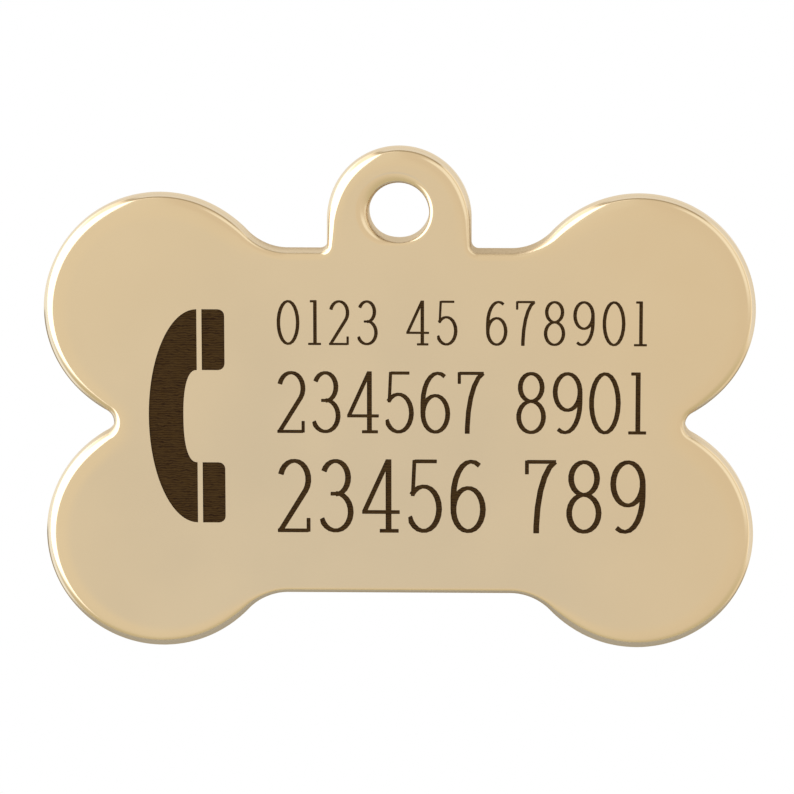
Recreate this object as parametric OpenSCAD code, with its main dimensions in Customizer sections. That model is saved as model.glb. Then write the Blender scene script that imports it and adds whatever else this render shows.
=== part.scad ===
// Bone shaped pet id tag: a rounded brass plate with a ring loop, a handset picture and plain numbers.
// It hangs upright with its front towards -Y, and its origin is the centre of the ring hole.

/* [Plate] */
// Overall width across the lobes
tag_w = 38.1; // [37:0.1:44]
// Radius of each of the four lobes
lobe_r = 6.25; // [5.9:0.05:6.5]
// Height of the upper lobes' centres above the middle of the bone
lobe_rise = 6.15; // [5.8:0.05:6.5]
// Height of the waist between the lobes
waist_h = 18.7; // [18:0.1:19.6]
// Radius in the notch between an upper and a lower lobe
notch_r = 0.7; // [0.5:0.05:1.2]
// Radius where a lobe runs into the waist
blend_r = 2.9; // [2:0.1:3.6]
// Thickness of the plate
plate_t = 1.8; // [1.4:0.1:3]
// Radius along every outer edge
edge_r = 0.55; // [0.2:0.05:0.6]

/* [Ring loop] */
// Outer radius of the loop
loop_r = 3.85; // [3.5:0.05:4.2]
// Height of the loop's centre above the middle of the bone
loop_rise = 11.1; // [10.8:0.05:12]
// Radius at the foot of the loop
foot_r = 0.4; // [0.3:0.05:0.9]
// Diameter of the hole for a split ring
hole_d = 3.2; // [2.4:0.1:3.6]
// Height of the hole's centre above the middle of the bone
hole_rise = 11.5; // [11:0.05:12]
// Radius on both rims of the hole
rim_r = 0.35; // [0.1:0.05:0.5]

/* [Engraving] */
// Depth of the engraved recesses
cut_depth = 0.15; // [0.1:0.01:0.4]
// Thickness of the dark filling on the floor of each recess
fill_t = 0.1; // [0.05:0.01:0.1]
// Radius that the engraving spot leaves in every outer corner of a figure
spot_r = 0.03; // [0.02:0.005:0.04]
// Height of the middle of all the marks above the middle of the bone
marks_rise = 0.4; // [-0.5:0.1:1.5]

/* [Handset] */
// Distance from the notch between the left lobes to the handset
handset_gap = 1.9; // [1.2:0.1:2.4]
// Height of the handset
handset_h = 11.7; // [9:0.1:12.5]
// Width of the grip from its back to the pads
grip_w = 2.6; // [2.2:0.05:2.8]
// Depth of the hollow in the grip
bay_depth = 0.74; // [0.5:0.02:1]
// Gap between the grip and each pad
pad_gap = 0.27; // [0.15:0.01:0.4]
// Width of the earpiece and mouthpiece pads
pad_w = 1.22; // [1:0.02:1.4]
// Height of the earpiece and mouthpiece pads
pad_h = 3.32; // [2.6:0.02:3.6]
// Radius on the outer corners of the pads
pad_corner_r = 0.35; // [0.2:0.05:0.5]

/* [Numbers] */
// Distance from the handset's pads to the numbers
column_gap = 2.8; // [2:0.1:4]
// Distance from the numbers to the notch between the right lobes
rows_gap = 2.1; // [1.4:0.1:3]
// Height of the figures in the top row
top_figure_h = 2.45; // [2:0.05:2.8]
// Height of the figures in the middle row
middle_figure_h = 3.4; // [2.8:0.05:3.6]
// Height of the figures in the bottom row
bottom_figure_h = 4.05; // [3.4:0.05:4.4]
// Gap between one row and the next
row_gap = 1.42; // [1:0.02:1.8]
// Least gap between two figures of a row
letter_gap_least = 0.2; // [0.1:0.02:0.3]

/* [Hidden] */

// Colours of the brass and of the dark filling
brass_colour = [0.85, 0.77, 0.62];
dark_colour = [0.22, 0.15, 0.09];

// Overrun of every cut past the face it opens in
over = 1;
// Largest distance between a true arc and the chords that stand for it
chord_error = 0.008;
// Width of the flat that joins the rounded rim to the core of the plate
rim_flat = 0.3;
// Chords in the quarter round along an outer edge, and round a rim of the hole
edge_chords = 5;
rim_chords = 5;
// Facets of a true round
round_facets = 96;

half_t = plate_t / 2;
half_waist = waist_h / 2;
hole_r = hole_d / 2;
core_inset = edge_r + rim_flat;

// The lobes' centres stand this far to each side, and the edge of the waist this far above them
spread = tag_w / 2 - lobe_r;
waist_over_lobe = half_waist - lobe_rise;

// Along the waist, a lobe's round ends this far from the lobe's centre, and this is left beside the loop
lobe_reach = sqrt(lobe_r ^ 2 - waist_over_lobe ^ 2);
waist_room = spread - lobe_reach - loop_r;

// Radii of the fillets where they have the room, and otherwise what the room allows
foot = min(foot_r, waist_room / 2);
blend_limit = ((spread - loop_r - foot) ^ 2 - lobe_reach ^ 2) / (2 * (lobe_r - waist_over_lobe));
blend = min(blend_r, blend_limit);
notch = max(notch_r, lobe_rise - lobe_r);

// Centres of the notch fillet and the blend into the waist, and the directions to them from a lobe's centre
notch_reach = sqrt(max((lobe_r + notch) ^ 2 - lobe_rise ^ 2, 0));
notch_turn = atan2(lobe_rise, notch_reach);
notch_x = spread + notch_reach - notch;
blend_reach = sqrt((lobe_r + blend) ^ 2 - (waist_over_lobe + blend) ^ 2);
blend_turn = atan2(waist_over_lobe + blend, blend_reach);

// The foot of the loop meets its straight side, or its round where the waist is as high as the loop's centre
foot_rise = max(half_waist + foot - loop_rise, 0);
foot_turn = asin(foot_rise / (loop_r + foot));
foot_x = (loop_r + foot) * cos(foot_turn);

// The outline, anticlockwise, as arcs joined by lines: centre, radius (negative where hollow), two angles
lobe_arc = [[spread, lobe_rise], lobe_r, -notch_turn, 180 - blend_turn];
blend_arc = [[spread - blend_reach, half_waist + blend], -blend, -blend_turn, -90];
foot_arc = [[foot_x, half_waist + foot], -foot, -90, foot_turn - 180];
notch_arc = [[spread + notch_reach, 0], -notch, 180 + notch_turn, 180 - notch_turn];
loop_arc = [[0, loop_rise], loop_r, foot_turn, 180 - foot_turn];
right_arcs = [upside_down(blend_arc), upside_down(lobe_arc), notch_arc, lobe_arc, blend_arc, foot_arc];
left_arcs = [for (i = [len(right_arcs) - 1 : -1 : 0]) left_for_right(right_arcs[i])];
outline_arcs = concat(right_arcs, [loop_arc], left_arcs);

function upside_down(arc) = [[arc[0].x, -arc[0].y], arc[1], -arc[3], -arc[2]];
function left_for_right(arc) = [[-arc[0].x, arc[0].y], arc[1], 180 - arc[3], 180 - arc[2]];

// Chords that keep an arc of this radius within the chord error
function chords(radius, turn) = ceil(abs(turn) / (2 * acos(1 - chord_error / radius)));

// Points of an elliptic arc, both ends included
function arc_points(centre, radii, from, to, count) =
    [for (i = [0 : count]) let (a = from + (to - from) * i / count)
        [centre.x + radii.x * cos(a), centre.y + radii.y * sin(a)]];

// Points of one of the outline's arcs, moved inwards by inset
function outline_arc_points(arc, inset) =
    let (
        hollow = arc[1] < 0,
        radius = abs(arc[1]) + (hollow ? inset : -inset),
        count = chords(abs(arc[1]) + (hollow ? edge_r : 0), arc[3] - arc[2])
    )
    arc_points(arc[0], [radius, radius], arc[2], arc[3], count);

function all_points(inset) = [for (arc = outline_arcs) each outline_arc_points(arc, inset)];

// Where one arc runs straight into the next, both end on the same point, and only one of the two is kept
edge_points = all_points(0);
kept = [
    for (i = [0 : len(edge_points) - 1])
        if (norm(edge_points[i] - edge_points[(i + 1) % len(edge_points)]) > chord_error / 2) i
];
function outline(inset) = let (points = all_points(inset)) [for (i = kept) points[i]];

// Stands the flat drawing of the tag upright and puts the middle of the hole at the origin
module upright() {
    rotate([90, 0, 0])
        translate([0, -hole_rise, 0])
            children();
}

// The rounded rim, as a closed band whose section runs from the front flat round the edge to the back flat
module rounded_rim() {
    quarter = [for (i = [0 : edge_chords]) 90 * (1 - i / edge_chords)];
    front = [for (a = quarter) [edge_r * (1 - cos(a)), half_t - edge_r * (1 - sin(a))]];
    back = [for (i = [edge_chords : -1 : 0]) [front[i].x, -front[i].y]];
    section = concat([[core_inset, half_t]], front, back, [[core_inset, -half_t]]);
    loops = [for (s = section) outline(s.x)];
    around = len(loops[0]);
    points = [for (k = [0 : len(section) - 1]) for (p = loops[k]) [p.x, p.y, section[k].y]];
    faces = [
        for (k = [0 : len(section) - 1]) for (j = [0 : around - 1])
            let (next_k = (k + 1) % len(section), next_j = (j + 1) % around)
            [k * around + j, k * around + next_j, next_k * around + next_j, next_k * around + j]
    ];
    polyhedron(points, faces);
}

module blank() {
    linear_extrude(plate_t, center = true) polygon(outline(core_inset));
    rounded_rim();
}

// What is cut away for the ring hole, with a rounded rim at each face
module ring_hole() {
    quarter = [for (i = [0 : rim_chords]) 90 * i / rim_chords];
    flare = [for (a = quarter) [hole_r + rim_r * (1 - cos(a)), half_t - rim_r * (1 - sin(a))]];
    upper = concat(flare, [[hole_r + rim_r, half_t + over], [0, half_t + over]]);
    lower = [for (i = [len(upper) - 1 : -1 : 0]) [upper[i].x, -upper[i].y]];
    translate([0, hole_rise, 0])
        rotate_extrude($fn = round_facets)
            polygon(concat(upper, lower));
}

// The handset picture's drawing starts at the right edge of the grip, half way up
handset_x = -notch_x + handset_gap + grip_w;
// How square the hollow in the grip is: 2 would make it an ellipse
bay_power = 2.4;
bay_half_h = handset_h / 2 - pad_h;
grip_chords = 40;
bay_chords = 28;

module handset_place() translate([handset_x, marks_rise]) children();

module grip_shape() {
    back = arc_points([0, 0], [grip_w, handset_h / 2], 90, 270, grip_chords);
    bay = [
        for (i = [0 : bay_chords]) let (a = -90 + 180 * i / bay_chords)
            [-bay_depth * cos(a) ^ (2 / bay_power), bay_half_h * sign(a) * abs(sin(a)) ^ (2 / bay_power)]
    ];
    handset_place() polygon(concat(back, bay));
}

// One pad of the handset, upper for 1 and lower for -1
module pad_shape(way) {
    corner = arc_points(
        [pad_w - pad_corner_r, pad_h / 2 - pad_corner_r], [pad_corner_r, pad_corner_r], 0, 90,
        chords(pad_corner_r, 90)
    );
    lower_corner = [for (i = [len(corner) - 1 : -1 : 0]) [corner[i].x, -corner[i].y]];
    handset_place()
        translate([pad_gap, way * (handset_h - pad_h) / 2])
            polygon(concat([[0, pad_h / 2], [0, -pad_h / 2]], lower_corner, corner));
}

// The numbers are plain counting figures in rows of equal length
row_numbers = ["0123 45 678901", "234567 8901", "23456 789"];
figure_heights = [top_figure_h, middle_figure_h, bottom_figure_h];
rows_x = handset_x + pad_gap + pad_w + column_gap;
rows_w = notch_x - rows_gap - rows_x;
rows_h = sum(figure_heights) + (len(figure_heights) - 1) * row_gap;

// Widths of the figures 0 to 9 and of the space between words, as shares of the figure's height
figure_width_shares = [0.5, 0.3, 0.45, 0.45, 0.5, 0.45, 0.47, 0.45, 0.47, 0.47];
word_space_share = 0.28;
// Upright strokes are thicker than level ones, as shares of the figure's height
thick_share = 0.078;
thin_share = 0.052;
// Turn between two points on the round of a figure, and facets of the spot that cuts its corners
figure_turn = 16;
spot_facets = 8;

// Main strokes of each figure, as shares of its box: points, or arcs with centre, radii and two angles
stroke_shares = [
    [[[0.5, 0.5, 0.5, 0.5, 0, 360]]],
    [[[0.58, 0], [0.58, 1.2]]],
    [[[0.5, 0.735, 0.5, 0.265, 165, -37], [-0.02, -0.02]]],
    [[[0.46, 0.76, 0.45, 0.24, 158, -90]], [[0.46, 0.27, 0.54, 0.27, 90, -160]]],
    [[[0.74, -0.2], [0.74, 1.2]], [[0.74, 1.04], [-0.04, 0.27]]],
    [[[0.45, 0.32, 0.55, 0.32, 142, -160]]],
    [
        [[0.6, 0.5, 0.6, 0.5, 62, 180], [0, 0.3]],
        [[0.5, 0.31, 0.5, 0.31, 0, 360]]
    ],
    [[[0.34, -0.2], [0.34, 0], [1.15, 0, 0.81, 1.02, 175, 100]]],
    [[[0.5, 0.765, 0.44, 0.235, 0, 360]], [[0.5, 0.265, 0.5, 0.265, 0, 360]]],
    []
];
// Thin strokes of each figure: flags, bars and slabs
slab_shares = [
    [],
    [[[0.08, 1], [0.58, 1]], [[-0.1, 0], [1.2, 0]]],
    [[[-0.1, 0], [1, 0]], [[1, -0.02], [1, 0.18]]],
    [[[0.28, 0.53], [0.48, 0.53]]],
    [[[-0.1, 0.27], [1.2, 0.27]], [[0.46, 0], [1.06, 0]]],
    [[[0.12, 1], [0.92, 1]], [[0.12, 1.02], [0.06, 0.5]]],
    [],
    [[[0, 1], [1.04, 1]], [[0, 1.02], [0, 0.82]]],
    [],
    []
];

function sum(values, i = 0) = i < len(values) ? values[i] + sum(values, i + 1) : 0;

// A stroke's parts as one line of points, in shares of the figure's box
function line_of(parts) = [
    for (p = parts)
        each len(p) == 2
            ? [p]
            : arc_points([p[0], p[1]], [p[2], p[3]], p[4], p[5], ceil(abs(p[5] - p[4]) / figure_turn))
];

// The same line in millimetres, half a pen inside the box
function in_box(line, box, pen) =
    [for (p = line) [pen.x / 2 + p.x * (box.x - pen.x), pen.y / 2 + p.y * (box.y - pen.y)]];

// Direction of the line at point i, and half the width that the pen draws in that direction
function heading(line, i, closed) =
    let (
        n = len(line),
        before = line[closed ? (i + n - 1) % n : max(i - 1, 0)],
        after = line[closed ? (i + 1) % n : min(i + 1, n - 1)]
    )
    (after - before) / norm(after - before);
function half_width(way, pen) = (pen.y + (pen.x - pen.y) * abs(way.y)) / 2;
function beside(line, pen, hand, closed) = [
    for (i = [0 : len(line) - 1]) let (way = heading(line, i, closed))
        line[i] + hand * half_width(way, pen) * [-way.y, way.x]
];
function kept_in(line, box) = [for (p = line) [min(max(p.x, 0), box.x), min(max(p.y, 0), box.y)]];
function backwards(line) = [for (i = [len(line) - 1 : -1 : 0]) line[i]];

module open_stroke(line, pen, box) {
    polygon(kept_in(concat(beside(line, pen, 1, false), backwards(beside(line, pen, -1, false))), box));
}

module round_stroke(line, pen) {
    round_line = [for (i = [0 : len(line) - 2]) line[i]];
    difference() {
        polygon(beside(round_line, pen, -1, true));
        polygon(beside(round_line, pen, 1, true));
    }
}

module figure_shape(number, height, squeeze) {
    box = [figure_width_shares[number] * height * squeeze, height];
    pen = [thick_share, thin_share] * height;
    slab_pen = [pen.y, pen.y];
    if (number == 9) {
        translate(box) rotate(180) figure_shape(6, height, squeeze);
    }
    for (parts = stroke_shares[number]) {
        line = in_box(line_of(parts), box, pen);
        if (norm(line[0] - line[len(line) - 1]) < pen.y) round_stroke(line, pen);
        else open_stroke(line, pen, box);
    }
    for (parts = slab_shares[number]) {
        open_stroke(in_box(line_of(parts), box, pen), slab_pen, box);
    }
}

function number_at(numbers, i) = ord(numbers[i]) - ord("0");
function place_w(numbers, i, height) =
    (numbers[i] == " " ? word_space_share : figure_width_shares[number_at(numbers, i)]) * height;
function places_w(numbers, count, height) = sum([for (i = [0 : 1 : count - 1]) place_w(numbers, i, height)]);

// One row of figures, spread so that it fills the rows' width, and narrowed where it would be too long
module row_shape(row) {
    numbers = row_numbers[row];
    height = figure_heights[row];
    gaps = len(numbers) - 1;
    full_w = places_w(numbers, len(numbers), height);
    squeeze = min((rows_w - gaps * letter_gap_least) / full_w, 1);
    letter_gap = (rows_w - full_w * squeeze) / gaps;
    rise = marks_rise + rows_h / 2 - sum([for (i = [0 : row]) figure_heights[i]]) - row * row_gap;
    offset(r = spot_r, $fn = spot_facets) offset(delta = -spot_r)
        for (i = [0 : gaps]) {
            if (numbers[i] != " ") {
                translate([rows_x + places_w(numbers, i, height) * squeeze + i * letter_gap, rise])
                    figure_shape(number_at(numbers, i), height, squeeze);
            }
        }
}

// What the engraving takes out of the front, and the dark filling that lies on its floor
module recess() {
    translate([0, 0, half_t - cut_depth]) linear_extrude(cut_depth + over) children();
}

module filling() {
    color(dark_colour) upright() translate([0, 0, half_t - cut_depth]) linear_extrude(fill_t) children();
}

module tag_plate() {
    color(brass_colour) upright() difference() {
        blank();
        ring_hole();
        recess() grip_shape();
        for (way = [1, -1]) recess() pad_shape(way);
        for (row = [0 : len(row_numbers) - 1]) recess() row_shape(row);
    }
}

module handset_grip() filling() grip_shape();

module handset_earpiece() filling() pad_shape(1);

module handset_mouthpiece() filling() pad_shape(-1);

module number_row(row) filling() row_shape(row);

tag_plate();
handset_grip();
handset_earpiece();
handset_mouthpiece();
number_row(0);  // number_row_top
number_row(1);  // number_row_middle
number_row(2);  // number_row_bottom
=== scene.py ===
import math

import bmesh
import bpy
import numpy as np
from mathutils import Matrix, Vector, geometry


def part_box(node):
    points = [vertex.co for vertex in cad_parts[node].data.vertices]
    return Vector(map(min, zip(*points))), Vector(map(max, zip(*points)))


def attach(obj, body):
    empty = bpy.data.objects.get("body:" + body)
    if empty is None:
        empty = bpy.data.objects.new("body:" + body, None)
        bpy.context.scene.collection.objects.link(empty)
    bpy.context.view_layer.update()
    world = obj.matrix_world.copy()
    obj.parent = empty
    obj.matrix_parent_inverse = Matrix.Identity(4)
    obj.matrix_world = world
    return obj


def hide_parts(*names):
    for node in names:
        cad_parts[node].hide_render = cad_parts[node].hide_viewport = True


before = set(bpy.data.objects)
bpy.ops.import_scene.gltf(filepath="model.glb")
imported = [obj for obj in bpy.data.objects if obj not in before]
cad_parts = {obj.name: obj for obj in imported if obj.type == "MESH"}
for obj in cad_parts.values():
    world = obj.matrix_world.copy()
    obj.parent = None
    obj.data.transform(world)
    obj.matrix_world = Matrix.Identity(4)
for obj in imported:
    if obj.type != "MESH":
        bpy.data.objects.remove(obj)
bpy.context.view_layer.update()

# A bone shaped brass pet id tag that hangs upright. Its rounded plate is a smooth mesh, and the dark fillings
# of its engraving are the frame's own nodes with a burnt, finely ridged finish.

MM = 0.001
plate_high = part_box("tag_plate")[1]

# Sizes of the plate. Its width and thickness come from the frame, and the ring hole's centre is the origin.
half_w = plate_high.x
half_t = plate_high.y
HOLE_RISE = 11.5 * MM
LOBE_R = 6.25 * MM
LOBE_RISE = 6.15 * MM
HALF_WAIST = 9.35 * MM
NOTCH_R = 0.7 * MM
BLEND_R = 2.9 * MM
LOOP_R = 3.85 * MM
LOOP_RISE = 11.1 * MM
FOOT_R = 0.4 * MM
HOLE_R = 1.6 * MM
CUT_DEPTH = 0.15 * MM

# Polishing rounds off the lobes, and most of all the loop. It fades over POLISH_REACH towards the waist and
# the notches, where the stamped edge stays tighter, rougher and darker, its darker colour partly painted
# shade in these hollows. Before the rounding it rolls the face off by up to ROLL_TURN, from EDGE_ROLL_W
# inside the edge, or LOOP_ROLL_W on the loop.
STAMPED_EDGE_R = 0.3 * MM
LOBE_EDGE_R = 0.6 * MM
LOOP_EDGE_R = 0.66 * MM
POLISH_REACH = 0.8 * MM
ROLL_TURN = math.radians(3.5)
ROLL_POWER = 3
EDGE_ROLL_W = 1.5 * MM
LOOP_ROLL_W = 1 * MM

# The hole's rim is worn widest at WORN_TURN and deepest at DEEP_TURN, anticlockwise from the right. At the
# bottom it lacks CRISP_RIM of that wear. A place with a higher focus is narrower. The wear lies inside a flat
# ring on the face, RIM_FACE_W wide.
TIGHT_RIM_W = 0.22 * MM
WORN_RIM_W = 0.75 * MM
WORN_TURN = math.radians(150)
SHALLOW_RIM = 0.2 * MM
DEEP_RIM = 0.62 * MM
DEEP_TURN = math.radians(205)
DEEP_FOCUS = 2
CRISP_RIM = 0.7
CRISP_FOCUS = 6
RIM_FACE_W = 0.8 * MM
# The steep part of the hole's rim is this dull, its darker colour partly painted shade in the hole
RIM_DULL_SHADE = 0.6

# A rounding grows rougher and darker between these two turns from the face towards the wall. The darker
# colour is partly the stamped finish and partly painted shade on the walls, in the hole and in the hollows of
# the outline.
# Along the waist the front of the stamped wall keeps less of it: at the places in the first list below it
# keeps the shares in the second of its dullness and painted shade, less on the left than on the right.
DULL_SHADE_FROM = math.radians(25)
DULL_SHADE_TO = math.radians(60)
WAIST_FRONT_X = [-12 * MM, -9 * MM, -4 * MM, 4 * MM, 9 * MM, 12 * MM]
WAIST_FRONT_DULL_SHADE = [1, 0.35, 0.35, 0.9, 0.9, 1]

# Fineness of the mesh, and of the blur that fades the polish, whose weights run on to BLUR_SPAN reaches
OUTLINE_STEP = 0.09 * MM
ROLL_ROWS = 8
ROUND_ROWS = 16
HOLE_SEGMENTS = 192
FLOOR_SEGMENTS = 128
WELD = 0.0001 * MM
SHARP_ANGLE = math.radians(25)
POLISH_STEP = 0.1 * MM
BLUR_SPAN = 3

# Below, a noise is given by its scale and detail, and a bump by its height and strength. Most of a noise's
# values lie between these two.
NOISE_LOW = 0.3
NOISE_HIGH = 0.7

# Brass: the polished and the stamped finish, each from its darkest to its lightest, with the clouds, the
# grain and the slight waves in them. The stamped colours are darker than the finish itself, partly painted
# shade for the walls, the hole and the hollows.
POLISHED_STOPS = [(NOISE_LOW, (0.75, 0.62, 0.44)), (NOISE_HIGH, (0.77, 0.64, 0.46))]
STAMPED_SHADE_STOPS = [(NOISE_LOW, (0.48, 0.37, 0.23)), (NOISE_HIGH, (0.57, 0.45, 0.3))]
BRASS_TINT = (0.9, 0.82, 0.68, 1)
CLOUDS = (160, 3)
GRAIN = (6000, 2)
WAVES = (350, 1)
POLISHED_ROUGHNESS = (0.09, 0.13)
STAMPED_ROUGHNESS_MORE = 0.4
WAVE_BUMP = (0.002 * MM, 0.3)
GRAIN_BUMP = (0.0005 * MM, 0.2)

# Fillings: their nodes, and the level lines across them. A wave texture of scale 1 has its bands
# BAND_SPACING apart. The burns are drawn out along the lines and leave these shares of a line's depth.
FILLINGS = [name for name in sorted(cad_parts) if name != "tag_plate"]
LINE_PITCH = 0.13 * MM
BAND_SPACING = math.pi / 10
LINE_WANDER = 6
LINE_DETAIL = 2
LINE_DETAIL_SCALE = 2
STREAK_STRETCH = (0.5, 1, 1)
BURNS = (4000, 2)
BURN_SHARES = (0.45, 1)

# Their colours from the ridges to the grooves between them, and the soot on both
BURNT_STOPS = [(0.1, (0.047, 0.0245, 0.0055)), (0.9, (0.0155, 0.005, 0.0002))]
RIDGE_BUMP = (0.012 * MM, 0.6)
SOOT = (2500, 3)
SOOT_BUMP = (0.006 * MM, 0.4)
SOOT_ROUGHNESS = (0.5, 0.75)
FILLING_SPECULAR = 0.1

# Camera: it looks a little down on the tag from slightly right of its middle, through a long lens
CAMERA_TARGET = Vector((-0.136, 0, -10.19)) * MM
CAMERA_DISTANCE = 294.7 * MM
CAMERA_RISE = math.radians(12)
CAMERA_TURN = math.radians(1.45)
CAMERA_ROLL = math.radians(-0.055)
CAMERA_LENS = 248.7
CAMERA_CLIP = 10 * MM

# Floor: a grey disc under the tag, its grey a painted shadow pool which the bottom edges mirror. It also
# takes the tag's real shadow and fades out into the background towards the rim
FLOOR_CENTRE = Vector((0, 25, -60)) * MM
FLOOR_R = 66 * MM
FLOOR_SOLID_R = 44 * MM
SHADOW_POOL_COLOUR = (0.45, 0.48, 0.53)

# Studio round the tag, as radiance by direction. Every panel has a colour and is bounded by planes through
# the tag, each a normal, a least value and a softness: the panel is where direction . normal is more than
# the least value, and fades over the softness on either side of it.
ROOM = (0.89, 0.8, 0.65)
WHITE = (1, 1, 1)
UP = (0, 0, 1)
DOWN = (0, 0, -1)
LEFT = (-1, 0, 0)
RIGHT = (1, 0, 0)
FRONT = (0, -1, 0)
BACK = (0, 1, 0)
BACKDROP_RIGHT = (0.106, 0.965, -0.241)
BACKDROP_LEFT = (-0.135, 0.961, -0.24)
SOFTBOX_FRONT = (-0.95, 0.27, -0.15)
SOFTBOX_BACK = (-0.012, -0.717, 0.697)
SOFTBOX_REAR = (0.012, 0.717, -0.697)
SOFTBOX_SIDES = [(SOFTBOX_FRONT, 0.12, 0.015), (UP, -0.5, 0.12), (LEFT, 0.3, 0.08)]
PANELS = {
    "left_room": ((0.95, 0.88, 0.73), [(LEFT, 0, 0.12)]),
    "front_card": ((0.82, 0.8, 0.75), [((-0.034, -0.971, -0.236), 0.9982, 0.0013)]),
    "right_lamp": (
        (1.2, 1.17, 1.05),
        [(BACKDROP_RIGHT, -0.72, 0.06), (RIGHT, 0.35, 0.1), (UP, -0.1, 0.2), (DOWN, -0.8, 0.1)],
    ),
    "right_gap": ((0.95, 0.86, 0.7), [(BACKDROP_RIGHT, -0.33, 0.04), (RIGHT, 0.35, 0.1)]),
    "right_strip": (
        (1.3, 1.24, 1.08),
        [(BACKDROP_RIGHT, -0.16, 0.03), (RIGHT, 0.35, 0.15), (UP, -0.42, 0.1), (DOWN, -0.8, 0.1)],
    ),
    "left_wing": (
        (1.15, 1.22, 1.3),
        [(SOFTBOX_REAR, 0.02, 0.01), (LEFT, 0.35, 0.06), (UP, -0.75, 0.1), (DOWN, -0.85, 0.05)],
    ),
    "front_table": ((0.72, 0.66, 0.47), [(DOWN, 0.5, 0.25), (FRONT, 0.1, 0.1)]),
    "table": ((0.4, 0.39, 0.37), [(DOWN, 0.2, 0.03), (BACK, 0.5, 0.08)]),
    "softbox_frame": ((0.8, 0.7, 0.55), SOFTBOX_SIDES + [(SOFTBOX_BACK, -0.03, 0.01)]),
    "softbox": ((2.4, 2.4, 2.4), SOFTBOX_SIDES + [(SOFTBOX_BACK, 0, 0.01)]),
    "softbox_tip": (
        (1.5, 1.42, 1.3),
        [(BACKDROP_RIGHT, -0.36, 0.03), (BACKDROP_LEFT, -0.36, 0.03), (LEFT, 0.05, 0.1), (UP, 0.6, 0.1)],
    ),
    "overhead_gap": (
        (0.55, 0.48, 0.36),
        [(BACKDROP_RIGHT, -0.3, 0.03), (RIGHT, -0.4, 0.08), (UP, 0.72, 0.06)],
    ),
}

# The white backdrop's two halves, as the planes of panels, and the panels that stand before it
BACKDROP = [
    [(BACKDROP_RIGHT, 0, 0.012), (UP, -0.42, 0.06)],
    [(BACKDROP_LEFT, 0, 0.012), (UP, -0.2, 0.03)],
]
BEFORE_BACKDROP = ("left_wing", "softbox_frame")


# Plate
def outline_arcs():
    """Arcs joined by straight lines, anticlockwise, each a centre, a radius (negative where hollow) and two
    angles."""
    spread = half_w - LOBE_R
    notch_reach = math.sqrt((LOBE_R + NOTCH_R) ** 2 - LOBE_RISE ** 2)
    notch_turn = math.atan2(LOBE_RISE, notch_reach)
    blend_rise = HALF_WAIST + BLEND_R - LOBE_RISE
    blend_reach = math.sqrt((LOBE_R + BLEND_R) ** 2 - blend_rise ** 2)
    blend_turn = math.atan2(blend_rise, blend_reach)
    quarter = math.pi / 2
    lobe = ((spread, LOBE_RISE), LOBE_R, -notch_turn, math.pi - blend_turn)
    blend = ((spread - blend_reach, HALF_WAIST + BLEND_R), -BLEND_R, -blend_turn, -quarter)
    notch = ((spread + notch_reach, 0), -NOTCH_R, math.pi + notch_turn, math.pi - notch_turn)
    foot = ((LOOP_R + FOOT_R, HALF_WAIST + FOOT_R), -FOOT_R, -quarter, -math.pi)
    loop = ((0, LOOP_RISE), LOOP_R, 0, math.pi)

    def upside_down(arc):
        return ((arc[0][0], -arc[0][1]), arc[1], -arc[3], -arc[2])

    def left_for_right(arc):
        return ((-arc[0][0], arc[0][1]), arc[1], math.pi - arc[3], math.pi - arc[2])

    right = [upside_down(blend), upside_down(lobe), notch, lobe, blend, foot]
    return right + [loop] + [left_for_right(arc) for arc in reversed(right)]


def outline():
    """Points (x, z) round the plate, the outward normals there, and the radii of their arcs, or 0 at an
    arc's end."""
    points = []
    normals = []
    radii = []
    for (x, z), radius, first, last in outline_arcs():
        widest = abs(radius) + (EDGE_ROLL_W if radius < 0 else 0)
        count = math.ceil(widest * abs(last - first) / OUTLINE_STEP) + 1
        turns = np.linspace(first, last, count)
        away = np.stack([np.cos(turns), np.sin(turns)], axis=1)
        points.append((x, z - HOLE_RISE) + abs(radius) * away)
        normals.append(away * np.sign(radius))
        radii.append(np.full(count, radius))
        radii[-1][[0, -1]] = 0
    points = np.concatenate(points)
    kept = np.linalg.norm(points - np.roll(points, -1, axis=0), axis=1) > WELD
    return points[kept], np.concatenate(normals)[kept], np.concatenate(radii)[kept]


def smoothed(points, values):
    """The values blurred along the outline over POLISH_REACH."""
    closed = np.concatenate([points, points[:1]])
    along = np.concatenate([[0], np.cumsum(np.linalg.norm(np.diff(closed, axis=0), axis=1))])
    even = np.arange(0, along[-1], POLISH_STEP)
    even_values = np.interp(even, along, np.append(values, values[0]))
    reach = np.arange(-BLUR_SPAN * POLISH_REACH, BLUR_SPAN * POLISH_REACH, POLISH_STEP)
    weights = np.exp(-((reach / POLISH_REACH) ** 2) / 2)
    margin = len(reach)
    padded = np.concatenate([even_values[-margin:], even_values, even_values[:margin]])
    blurred = np.convolve(padded, weights / weights.sum(), mode="same")[margin:-margin]
    return np.interp(along[:-1], even, blurred)


def rim_circle():
    """Points (x, z) round the hole, with the metal on their left as on the outline, and the normals there,
    with the width of the wear on the face and its depth into the plate."""
    turns = np.linspace(2 * math.pi, 0, HOLE_SEGMENTS, endpoint=False)
    away = np.stack([np.cos(turns), np.sin(turns)], axis=1)
    widths = TIGHT_RIM_W + (WORN_RIM_W - TIGHT_RIM_W) * (1 + np.cos(turns - WORN_TURN)) / 2
    deep = ((1 + np.cos(turns - DEEP_TURN)) / 2) ** DEEP_FOCUS
    depths = SHALLOW_RIM + (DEEP_RIM - SHALLOW_RIM) * deep
    kept = 1 - CRISP_RIM * np.clip(-away[:, 1], 0, 1) ** CRISP_FOCUS
    return HOLE_R * away, -away, widths * kept, depths * kept


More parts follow.
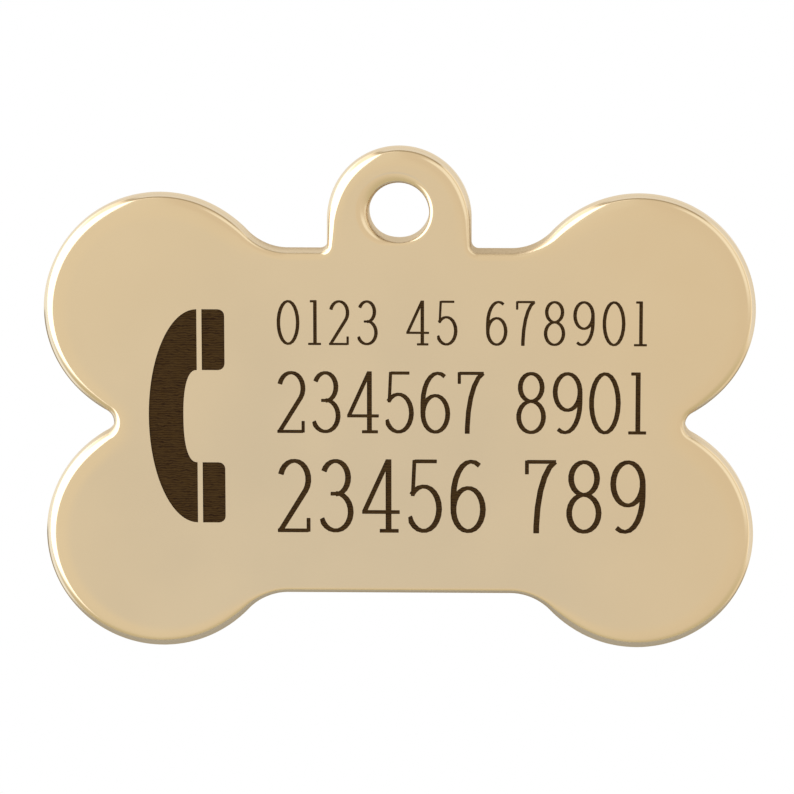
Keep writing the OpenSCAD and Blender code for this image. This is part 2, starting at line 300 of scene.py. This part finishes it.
def edge_rings(points, normals, round_w, round_depth, roll_w, roll_turn, dull_shade, front_share):
    """Rings of (x, y, z) and of dullness, whose darker colour is partly painted shade, from the front face
    over the rounding and the wall to the back face. The face rolls off as a power curve, which meets the
    elliptical rounding at roll_turn. On the front half the dullness is multiplied by front_share."""
    first = np.arctan(np.tan(roll_turn) * round_w / round_depth)
    round_start = round_w * (1 - np.sin(first))
    roll_drop = np.tan(roll_turn) * (roll_w - round_start) / ROLL_POWER
    centre_y = roll_drop + round_depth * np.cos(first) - half_t
    rows = []
    for share in np.linspace(0, 1, ROLL_ROWS, endpoint=False):
        inset = roll_w - (roll_w - round_start) * share
        rows.append((inset, roll_drop * share ** ROLL_POWER - half_t, 0))
    for share in np.linspace(0, 1, ROUND_ROWS + 1):
        along = first + (math.pi / 2 - first) * share
        turn = np.arctan2(round_depth * np.sin(along), round_w * np.cos(along))
        # The steep part of a rounding grows rougher and darker, the darker colour partly painted shade
        dull_shade_share = np.clip((turn - DULL_SHADE_FROM) / (DULL_SHADE_TO - DULL_SHADE_FROM), 0, 1)
        rows.append((round_w * (1 - np.sin(along)), centre_y - round_depth * np.cos(along), dull_shade_share))
    back = [(inset, -y, dull_shade_share) for inset, y, dull_shade_share in reversed(rows)]
    rows = [(inset, y, dull_shade_share * front_share) for inset, y, dull_shade_share in rows] + back

    rings = []
    for inset, y, dull_shade_share in rows:
        flat = points - inset[:, None] * normals
        ring = np.stack([flat[:, 0], np.zeros(len(flat)) + y, flat[:, 1]], axis=1)
        rings.append((ring, dull_shade * dull_shade_share))
    return rings


def add_rings(mesh, rings):
    """Quads between each ring of points and the next."""
    dull_and_shade = mesh.verts.layers.float["dull_and_shade"]
    made = []
    for points, dull_shade in rings:
        row = [mesh.verts.new(point) for point in points]
        for vertex, value in zip(row, dull_shade):
            vertex[dull_and_shade] = value
        made.append(row)
    for row, next_row in zip(made, made[1:]):
        for i in range(len(row)):
            j = (i + 1) % len(row)
            mesh.faces.new([row[i], next_row[i], next_row[j], row[j]])


def filling_loops(node):
    """The outlines (x, z) of the front faces of a filling, as lists of points. Points within WELD count as
    one, and a sliver that has two of its corners in one point is left out."""
    vertices = node.data.vertices
    front_y = min(vertex.co.y for vertex in vertices)
    edges = set()
    places = {}
    for polygon in node.data.polygons:
        corners = [vertices[i].co for i in polygon.vertices]
        keys = [(round(corner.x / WELD), round(corner.z / WELD)) for corner in corners]
        if max(corner.y for corner in corners) - front_y < WELD and len(set(keys)) == len(keys):
            places.update((key, (corner.x, corner.z)) for key, corner in zip(keys, corners))
            edges.update(zip(keys, keys[1:] + keys[:1]))
    following = {start: end for start, end in edges if (end, start) not in edges}
    loops = []
    while following:
        start, key = following.popitem()
        loop = [start]
        while key != start:
            loop.append(key)
            key = following.pop(key)
        loops.append([places[key] for key in loop])
    return loops


def anticlockwise(loop):
    area = sum(a[0] * b[1] - b[0] * a[1] for a, b in zip(loop, loop[1:] + loop[:1]))
    return loop if area > 0 else loop[::-1]


def fill_face(mesh, y, loops, turned, floor_y=None):
    """Triangles between the first two loops, which are the outer loop and the hole. The other loops bound
    recesses down to floor_y. The triangulation works in millimetres."""
    inside_only = 1
    hole = 1
    points = []
    faces = []
    for loop in loops:
        faces.append(range(len(points), len(points) + len(loop)))
        points.extend(Vector(point) / MM for point in loop)
    cut = geometry.delaunay_2d_cdt(points, [], faces, inside_only, WELD)
    found, triangles, loops_around = cut[0], cut[2], cut[5]
    top = [mesh.verts.new((point.x * MM, y, point.y * MM)) for point in found]

    # The face lies inside the outer loop alone, or inside a mark's outline and also inside the gap in it: its
    # triangles have an odd number of loops around them
    sunk = set()
    face_edges = set()
    for triangle, around in zip(triangles, loops_around):
        if hole in around:
            continue
        if len(around) % 2:
            mesh.faces.new([top[i] for i in (reversed(triangle) if turned else triangle)])
            face_edges.update(zip(triangle, triangle[1:] + triangle[:1]))
        else:
            sunk.add(tuple(triangle))
    floor = {i: mesh.verts.new((found[i].x * MM, floor_y, found[i].y * MM)) for face in sunk for i in face}
    for triangle in sunk:
        mesh.faces.new([floor[i] for i in triangle])
        for start, end in zip(triangle, triangle[1:] + triangle[:1]):
            if (end, start) in face_edges:
                mesh.faces.new([top[start], top[end], floor[end], floor[start]])


def linked_object(mesh, name):
    """The object of a finished bmesh, in the scene."""
    data = bpy.data.meshes.new(name)
    mesh.to_mesh(data)
    mesh.free()
    made = bpy.data.objects.new(name, data)
    bpy.context.scene.collection.objects.link(made)
    return made


def make_plate():
    mesh = bmesh.new()
    mesh.verts.layers.float.new("dull_and_shade")
    points, normals, radii = outline()
    polish = smoothed(points, radii > 0)
    loop = smoothed(points, radii == LOOP_R)
    lobe_more = (LOBE_EDGE_R - STAMPED_EDGE_R) * polish
    edge_r = STAMPED_EDGE_R + lobe_more + (LOOP_EDGE_R - LOBE_EDGE_R) * loop
    roll_w = EDGE_ROLL_W + (LOOP_ROLL_W - EDGE_ROLL_W) * loop
    # The front of the waist's wall keeps less of its dullness and painted shade, less on the left than the
    # right
    waist_front_share = np.interp(points[:, 0], WAIST_FRONT_X, WAIST_FRONT_DULL_SHADE)
    edge = edge_rings(points, normals, edge_r, edge_r, roll_w, ROLL_TURN * polish, 1 - polish, waist_front_share)
    points, normals, rim_w, rim_depth = rim_circle()
    face_w = np.full(len(points), RIM_FACE_W)
    dull_shade = np.full(len(points), RIM_DULL_SHADE)
    level = np.zeros(len(points))
    rim = edge_rings(points, normals, rim_w, rim_depth, face_w, level, dull_shade, front_share=1)
    add_rings(mesh, edge)
    add_rings(mesh, rim)

    around = [anticlockwise(rings[0][0][:, [0, 2]].tolist()) for rings in (edge, rim)]
    marks = [anticlockwise(loop) for name in FILLINGS for loop in filling_loops(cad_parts[name])]
    fill_face(mesh, -half_t, around + marks, turned=False, floor_y=CUT_DEPTH - half_t)
    fill_face(mesh, half_t, around, turned=True)
    bmesh.ops.remove_doubles(mesh, verts=mesh.verts, dist=WELD)

    for face in mesh.faces:
        face.smooth = True
    for line in mesh.edges:
        line.smooth = len(line.link_faces) == 2 and line.calc_face_angle() < SHARP_ANGLE
    return linked_object(mesh, "polished_plate")


# Shader nodes
def node_material(name):
    material = bpy.data.materials.new(name)
    material.use_nodes = True
    nodes = material.node_tree.nodes
    return material, nodes, material.node_tree.links, nodes["Principled BSDF"]


def add_noise(nodes, links, place, scale, detail):
    noise = nodes.new("ShaderNodeTexNoise")
    noise.inputs["Scale"].default_value = scale
    noise.inputs["Detail"].default_value = detail
    links.new(place, noise.inputs["Vector"])
    return noise.outputs["Fac"]


def add_ramp(nodes, links, factor, stops):
    """A colour ramp between two stops, each a position and a colour."""
    ramp = nodes.new("ShaderNodeValToRGB")
    for element, (position, colour) in zip(ramp.color_ramp.elements, stops):
        element.position = position
        element.color = (*colour, 1)
    links.new(factor, ramp.inputs["Fac"])
    return ramp.outputs["Color"]


def add_range(nodes, links, noise, low, high):
    """Noise from NOISE_LOW to NOISE_HIGH becomes low to high."""
    spread = nodes.new("ShaderNodeMapRange")
    spread.inputs["From Min"].default_value = NOISE_LOW
    spread.inputs["From Max"].default_value = NOISE_HIGH
    spread.inputs["To Min"].default_value = low
    spread.inputs["To Max"].default_value = high
    links.new(noise, spread.inputs["Value"])
    return spread.outputs["Result"]


def add_bump(nodes, links, height, distance, strength, normal=None):
    bump = nodes.new("ShaderNodeBump")
    bump.inputs["Distance"].default_value = distance
    bump.inputs["Strength"].default_value = strength
    links.new(height, bump.inputs["Height"])
    if normal:
        links.new(normal, bump.inputs["Normal"])
    return bump.outputs["Normal"]


def add_maths(nodes, links, operation, *values):
    maths = nodes.new("ShaderNodeMath")
    maths.operation = operation
    for socket, value in zip(maths.inputs, values):
        if isinstance(value, (int, float)):
            socket.default_value = value
        else:
            links.new(value, socket)
    return maths.outputs["Value"]


def add_vector_maths(nodes, links, operation, place, constant):
    """The node, because its result is a vector or a value."""
    maths = nodes.new("ShaderNodeVectorMath")
    maths.operation = operation
    maths.inputs[1].default_value = constant
    links.new(place, maths.inputs[0])
    return maths


def add_mix(nodes, links, factor, first, second):
    """A mix of two colours. Its colour sockets share their names with others, so they go by number."""
    mix = nodes.new("ShaderNodeMix")
    mix.data_type = "RGBA"
    links.new(factor, mix.inputs["Factor"])
    for socket, colour in ((mix.inputs[6], first), (mix.inputs[7], second)):
        if isinstance(colour, tuple):
            socket.default_value = (*colour, 1)
        else:
            links.new(colour, socket)
    return mix.outputs[2]


def add_fade(nodes, links, value, least, soft):
    """0 where value is below least - soft, 1 where it is above least + soft."""
    fade = nodes.new("ShaderNodeMapRange")
    fade.interpolation_type = "SMOOTHSTEP"
    fade.inputs["From Min"].default_value = least - soft
    fade.inputs["From Max"].default_value = least + soft
    links.new(value, fade.inputs["Value"])
    return fade.outputs["Result"]


def add_panel(nodes, links, direction, planes):
    """1 inside the panel and 0 outside it."""
    mask = 1
    for normal, least, soft in planes:
        along = add_vector_maths(nodes, links, "DOT_PRODUCT", direction, normal)
        inside = add_fade(nodes, links, along.outputs["Value"], least, soft)
        mask = add_maths(nodes, links, "MULTIPLY", mask, inside)
    return mask


# Materials
def make_brass():
    material, nodes, links, shader = node_material("polished_brass")
    place = nodes.new("ShaderNodeTexCoord").outputs["Object"]
    dull_and_shade = nodes.new("ShaderNodeAttribute")
    dull_and_shade.attribute_name = "dull_and_shade"
    dull_shade = dull_and_shade.outputs["Fac"]
    clouds = add_noise(nodes, links, place, *CLOUDS)
    grain = add_noise(nodes, links, place, *GRAIN)
    waves = add_noise(nodes, links, place, *WAVES)
    polished = add_ramp(nodes, links, clouds, POLISHED_STOPS)
    # Where the attribute is high the colour turns to the darker stamped colours, partly painted shade
    stamped_shaded = add_ramp(nodes, links, grain, STAMPED_SHADE_STOPS)
    links.new(add_mix(nodes, links, dull_shade, polished, stamped_shaded), shader.inputs["Base Color"])
    sheen = add_range(nodes, links, clouds, *POLISHED_ROUGHNESS)
    roughness = add_maths(nodes, links, "MULTIPLY_ADD", dull_shade, STAMPED_ROUGHNESS_MORE, sheen)
    links.new(roughness, shader.inputs["Roughness"])
    wavy = add_bump(nodes, links, waves, *WAVE_BUMP)
    links.new(add_bump(nodes, links, grain, *GRAIN_BUMP, wavy), shader.inputs["Normal"])
    shader.inputs["Metallic"].default_value = 1
    shader.inputs["Specular Tint"].default_value = BRASS_TINT
    return material


def make_burnt_filling():
    material, nodes, links, shader = node_material("burnt_filling")
    place = nodes.new("ShaderNodeTexCoord").outputs["Object"]
    along = add_vector_maths(nodes, links, "MULTIPLY", place, STREAK_STRETCH).outputs["Vector"]
    lines = nodes.new("ShaderNodeTexWave")
    lines.wave_type = "BANDS"
    lines.bands_direction = "Z"
    lines.inputs["Scale"].default_value = BAND_SPACING / LINE_PITCH
    lines.inputs["Distortion"].default_value = LINE_WANDER
    lines.inputs["Detail"].default_value = LINE_DETAIL
    lines.inputs["Detail Scale"].default_value = LINE_DETAIL_SCALE
    links.new(along, lines.inputs["Vector"])
    soot = add_noise(nodes, links, place, *SOOT)
    burns = add_range(nodes, links, add_noise(nodes, links, along, *BURNS), *BURN_SHARES)
    grooves = add_maths(nodes, links, "MULTIPLY", lines.outputs["Fac"], burns)
    links.new(add_ramp(nodes, links, grooves, BURNT_STOPS), shader.inputs["Base Color"])
    links.new(add_range(nodes, links, soot, *SOOT_ROUGHNESS), shader.inputs["Roughness"])
    ridges = add_maths(nodes, links, "SUBTRACT", 1, grooves)
    ridged = add_bump(nodes, links, ridges, *RIDGE_BUMP)
    links.new(add_bump(nodes, links, soot, *SOOT_BUMP, ridged), shader.inputs["Normal"])
    shader.inputs["Specular IOR Level"].default_value = FILLING_SPECULAR
    return material


# Stage
def make_world():
    world = bpy.data.worlds.new("studio")
    world.use_nodes = True
    nodes = world.node_tree.nodes
    links = world.node_tree.links
    direction = nodes.new("ShaderNodeTexCoord").outputs["Generated"]
    colour = ROOM
    for panel_colour, planes in PANELS.values():
        colour = add_mix(nodes, links, add_panel(nodes, links, direction, planes), colour, panel_colour)

    # The white backdrop shows to the camera, and behind the tag to polished metal too, except where a panel
    # stands before it
    rays = nodes.new("ShaderNodeLightPath").outputs
    halves = [add_panel(nodes, links, direction, half) for half in BACKDROP]
    behind = add_maths(nodes, links, "MAXIMUM", *halves)
    for name in BEFORE_BACKDROP:
        before = add_panel(nodes, links, direction, PANELS[name][1])
        free = add_maths(nodes, links, "SUBTRACT", 1, before)
        behind = add_maths(nodes, links, "MULTIPLY", behind, free)
    mirrored = add_maths(nodes, links, "MAXIMUM", rays["Is Glossy Ray"], rays["Is Transmission Ray"])
    mirrored = add_maths(nodes, links, "MULTIPLY", mirrored, behind)
    shown = add_maths(nodes, links, "MAXIMUM", rays["Is Camera Ray"], mirrored)
    links.new(add_mix(nodes, links, shown, colour, WHITE), nodes["Background"].inputs["Color"])
    bpy.context.scene.world = world


def make_floor():
    mesh = bmesh.new()
    centre = Matrix.Translation(FLOOR_CENTRE)
    bmesh.ops.create_circle(mesh, cap_ends=True, segments=FLOOR_SEGMENTS, radius=FLOOR_R, matrix=centre)
    floor = linked_object(mesh, "floor")

    material, nodes, links, shader = node_material("shadow_pool_floor")
    place = nodes.new("ShaderNodeTexCoord").outputs["Object"]
    distance = add_vector_maths(nodes, links, "DISTANCE", place, FLOOR_CENTRE).outputs["Value"]
    middle = (FLOOR_R + FLOOR_SOLID_R) / 2
    outside = add_fade(nodes, links, distance, middle, FLOOR_R - middle)
    blend = nodes.new("ShaderNodeMixShader")
    links.new(outside, blend.inputs["Fac"])
    links.new(shader.outputs["BSDF"], blend.inputs[1])
    links.new(nodes.new("ShaderNodeBsdfTransparent").outputs["BSDF"], blend.inputs[2])
    links.new(blend.outputs["Shader"], nodes["Material Output"].inputs["Surface"])
    # Painted shadow: the disc's grey stands in for a shadow pool under the tag
    shader.inputs["Base Color"].default_value = (*SHADOW_POOL_COLOUR, 1)
    shader.inputs["Roughness"].default_value = 1
    shader.inputs["Specular IOR Level"].default_value = 0
    floor.data.materials.append(material)


def make_camera():
    data = bpy.data.cameras.new("camera")
    data.lens = CAMERA_LENS
    data.clip_start = CAMERA_CLIP
    camera = bpy.data.objects.new("camera", data)
    level = math.cos(CAMERA_RISE)
    right = math.sin(CAMERA_TURN) * level
    front = math.cos(CAMERA_TURN) * level
    towards_camera = Vector((right, -front, math.sin(CAMERA_RISE)))
    turn = towards_camera.to_track_quat("Z", "Y").to_matrix().to_4x4()
    place = Matrix.Translation(CAMERA_TARGET + CAMERA_DISTANCE * towards_camera)
    camera.matrix_world = place @ turn @ Matrix.Rotation(CAMERA_ROLL, 4, "Z")
    bpy.context.scene.collection.objects.link(camera)
    bpy.context.scene.camera = camera


plate = make_plate()
plate.data.materials.append(make_brass())
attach(plate, "root")
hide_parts("tag_plate")

burnt_filling = make_burnt_filling()
for name in FILLINGS:
    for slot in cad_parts[name].material_slots:
        slot.material = burnt_filling

make_floor()
make_world()
make_camera()
bpy.context.scene.view_settings.view_transform = "Standard"
